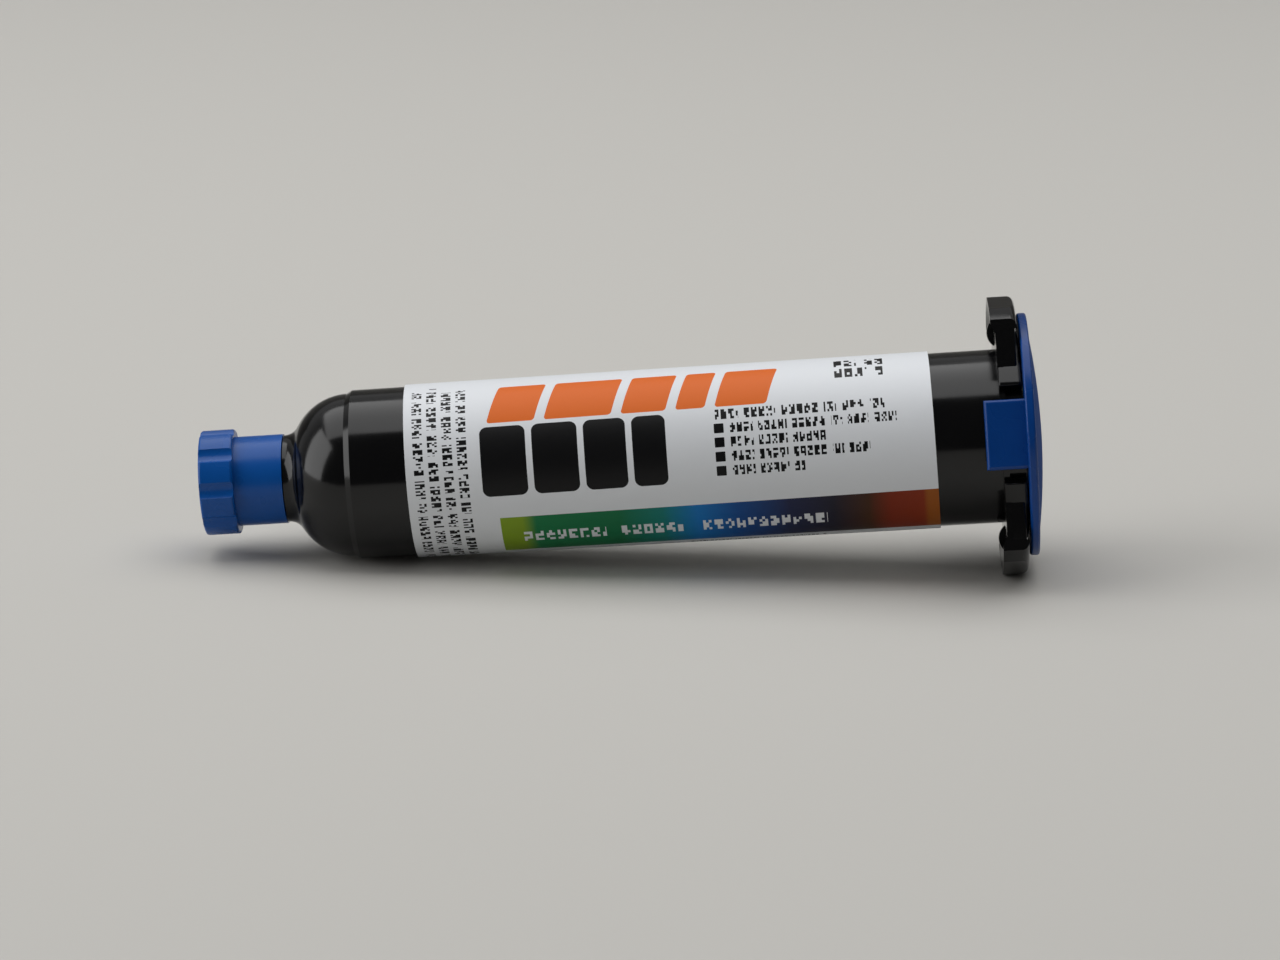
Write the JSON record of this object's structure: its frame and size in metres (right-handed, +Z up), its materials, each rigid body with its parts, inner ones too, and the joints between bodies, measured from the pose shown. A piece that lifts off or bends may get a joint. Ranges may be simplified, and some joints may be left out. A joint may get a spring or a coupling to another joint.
{
  "type": "adhesive syringe",
  "caption": "Capped dispensing syringe barrel, filled with adhesive, with a luer-lock tip cap, a winged flange with a clip-on end cap, a piston and a wrap label.",
  "frame": {"origin": "centre of the footprint, on the surface that the syringe lies on", "axes": "+X along its length towards the flange, +Z up, the label's front and one clip towards -Y; the barrel's axis rises by 4.64 degrees towards +X"},
  "size_m": [0.1216, 0.0348, 0.0395],
  "materials": {
    "barrel": "black moulded polypropylene, glossy",
    "tip_cap": "blue moulded polyethylene, semi-gloss",
    "end_cap": "blue moulded polyethylene, semi-gloss",
    "piston": "natural moulded polyethylene, waxy",
    "adhesive": "clear amber liquid",
    "label": "white label film, satin"
  },
  "bodies": {
    "barrel": {"barrel": "barrel", "label": "label", "adhesive": "adhesive"},
    "tip_cap": {"tip_cap": "tip_cap"},
    "end_cap": {"end_cap": "end_cap"},
    "piston": {"piston": "piston"}
  },
  "joints": [
    {"name": "tip_cap_pull", "type": "slide", "parent": "barrel", "child": "tip_cap", "axis": [-0.9967, 0, -0.0808], "range_m": [0, 0.02]},
    {"name": "end_cap_pull", "type": "slide", "parent": "barrel", "child": "end_cap", "axis": [0.9967, 0, 0.0808], "range_m": [0, 0.02]},
    {"name": "piston_push", "type": "slide", "parent": "barrel", "child": "piston", "axis": [-0.9967, 0, -0.0808], "range_m": [0, 0.0625], "deforming": ["adhesive"]}
  ]
}
